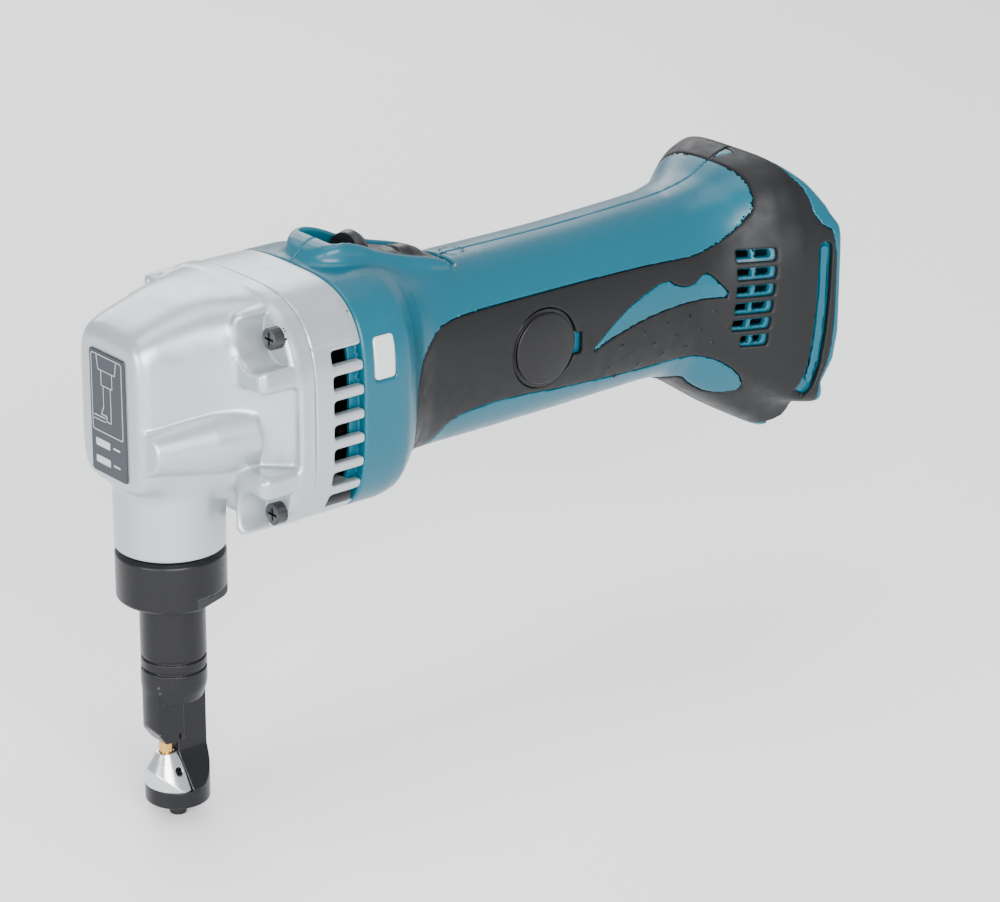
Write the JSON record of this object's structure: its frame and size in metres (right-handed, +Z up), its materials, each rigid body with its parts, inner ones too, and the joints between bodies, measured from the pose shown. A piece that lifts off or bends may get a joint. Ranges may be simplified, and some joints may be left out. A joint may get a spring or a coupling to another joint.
{
  "type": "nibbler",
  "caption": "Cordless sheet-metal nibbler: right-angle cutting head with a turnable punch and die, geared silver front, slim rubber-gripped handle and slide-on battery foot.",
  "frame": {"origin": "on the die holder's axis, level with the cutting face of the die", "axes": "+X from the cutting head towards the battery foot, +Z up along the die holder's axis, +Y to the operator's right"},
  "size_m": [0.2815, 0.0808, 0.1891],
  "materials": {
    "silver_paint": "fine silver paint on a diecast housing, satin",
    "black_screw": "black oxide, satin",
    "label": "printed film, semi-gloss",
    "teal_shell": "moulded nylon, satin gloss",
    "grip_rubber": "overmoulded elastomer, fine matt texture",
    "zinc_screw": "zinc plated steel",
    "lens": "milky translucent plastic",
    "black_plastic": "moulded black nylon",
    "black_oxide": "black oxide on machined steel, satin",
    "tool_steel": "ground and polished tool steel",
    "gold_steel": "gold-coloured coating on tool steel",
    "steel": "machined steel",
    "bronze": "sintered bronze",
    "lamination": "stacked laminations",
    "copper": "enamelled copper",
    "ferrite": "ferrite magnet",
    "phenolic": "phenolic moulding",
    "carbon": "pressed carbon",
    "brass_blade": "tinned brass",
    "wire": "PVC insulation"
  },
  "bodies": {
    "tool": {"front_gear_housing": "silver_paint", "vent_ring_housing": "silver_paint", "gear_housing_screws": "black_screw", "label_plate": "label", "left_motor_housing": "teal_shell", "right_motor_housing": "teal_shell", "left_grip": "grip_rubber", "right_grip": "grip_rubber", "handle_screws": "zinc_screw", "indicator_lenses": "lens", "brush_covers": "black_plastic", "guide_sleeve": "bronze", "crank_front_bush": "steel", "crank_rear_bearing": "steel", "front_motor_bearing": "steel", "rear_motor_bearing": "steel", "motor_yoke": "zinc_screw", "stator_magnets": "ferrite", "brush_holder": "phenolic", "carbon_brushes": "carbon", "brush_springs": "steel", "switch_body": "black_plastic", "terminal_block": "black_plastic", "terminal_blades": "brass_blade", "lead_wires": "wire"},
    "lock_nut": {"lock_nut": "black_oxide"},
    "die_holder": {"die_holder": "black_oxide", "die": "tool_steel", "die_bolt": "black_oxide"},
    "punch": {"punch": "gold_steel"},
    "slider": {"slider_yoke": "steel"},
    "crank": {"crankshaft": "steel", "crank_gear": "steel"},
    "crank_roller": {"crank_roller": "steel"},
    "armature": {"motor_pinion": "steel", "armature_shaft": "steel", "armature_core": "lamination", "armature_windings": "copper", "commutator": "copper", "cooling_fan": "black_plastic"},
    "switch_link": {"switch_link": "black_plastic", "knob_pin": "steel"},
    "switch_knob": {"switch_knob": "black_plastic"}
  },
  "joints": [
    {"name": "lock_nut_turn", "type": "hinge", "parent": "tool", "child": "lock_nut", "pos_m": [0, 0, 0.064], "axis": [0, 0, -1], "range_deg": [0, 90]},
    {"name": "die_holder_turn", "type": "hinge", "parent": "tool", "child": "die_holder", "pos_m": [0, 0, 0], "axis": [0, 0, 1], "continuous": true},
    {"name": "slider_stroke", "type": "slide", "parent": "tool", "child": "slider", "axis": [0, 0, 1], "range_m": [-0.00275, 0.00275]},
    {"name": "punch_turn", "type": "hinge", "parent": "slider", "child": "punch", "pos_m": [0, 0, 0.066], "axis": [0, 0, 1], "continuous": true},
    {"name": "crank_spin", "type": "hinge", "parent": "tool", "child": "crank", "pos_m": [0, 0, 0.136], "axis": [1, 0, 0], "continuous": true},
    {"name": "roller_spin", "type": "hinge", "parent": "crank", "child": "crank_roller", "pos_m": [0, 0.00275, 0.136], "axis": [1, 0, 0], "continuous": true},
    {"name": "armature_spin", "type": "hinge", "parent": "tool", "child": "armature", "pos_m": [0.08, 0, 0.116], "axis": [1, 0, 0], "continuous": true},
    {"name": "switch_slide", "type": "slide", "parent": "tool", "child": "switch_link", "axis": [-0.9659, 0, 0.2588], "range_m": [0, 0.006], "stiffness_N_per_m": 400, "springref_m": -0.002},
    {"name": "switch_rock", "type": "hinge", "parent": "switch_link", "child": "switch_knob", "pos_m": [0.08567, 0, 0.14371], "axis": [0, -1, 0], "range_deg": [0, 3], "stiffness_Nm_per_rad": 0.2, "springref_deg": -2.86}
  ],
  "couplings": [
    {"joint": "armature_spin", "follows": "crank_spin", "ratio": -5.25},
    {"joint": "punch_turn", "follows": "die_holder_turn", "ratio": 1}
  ]
}
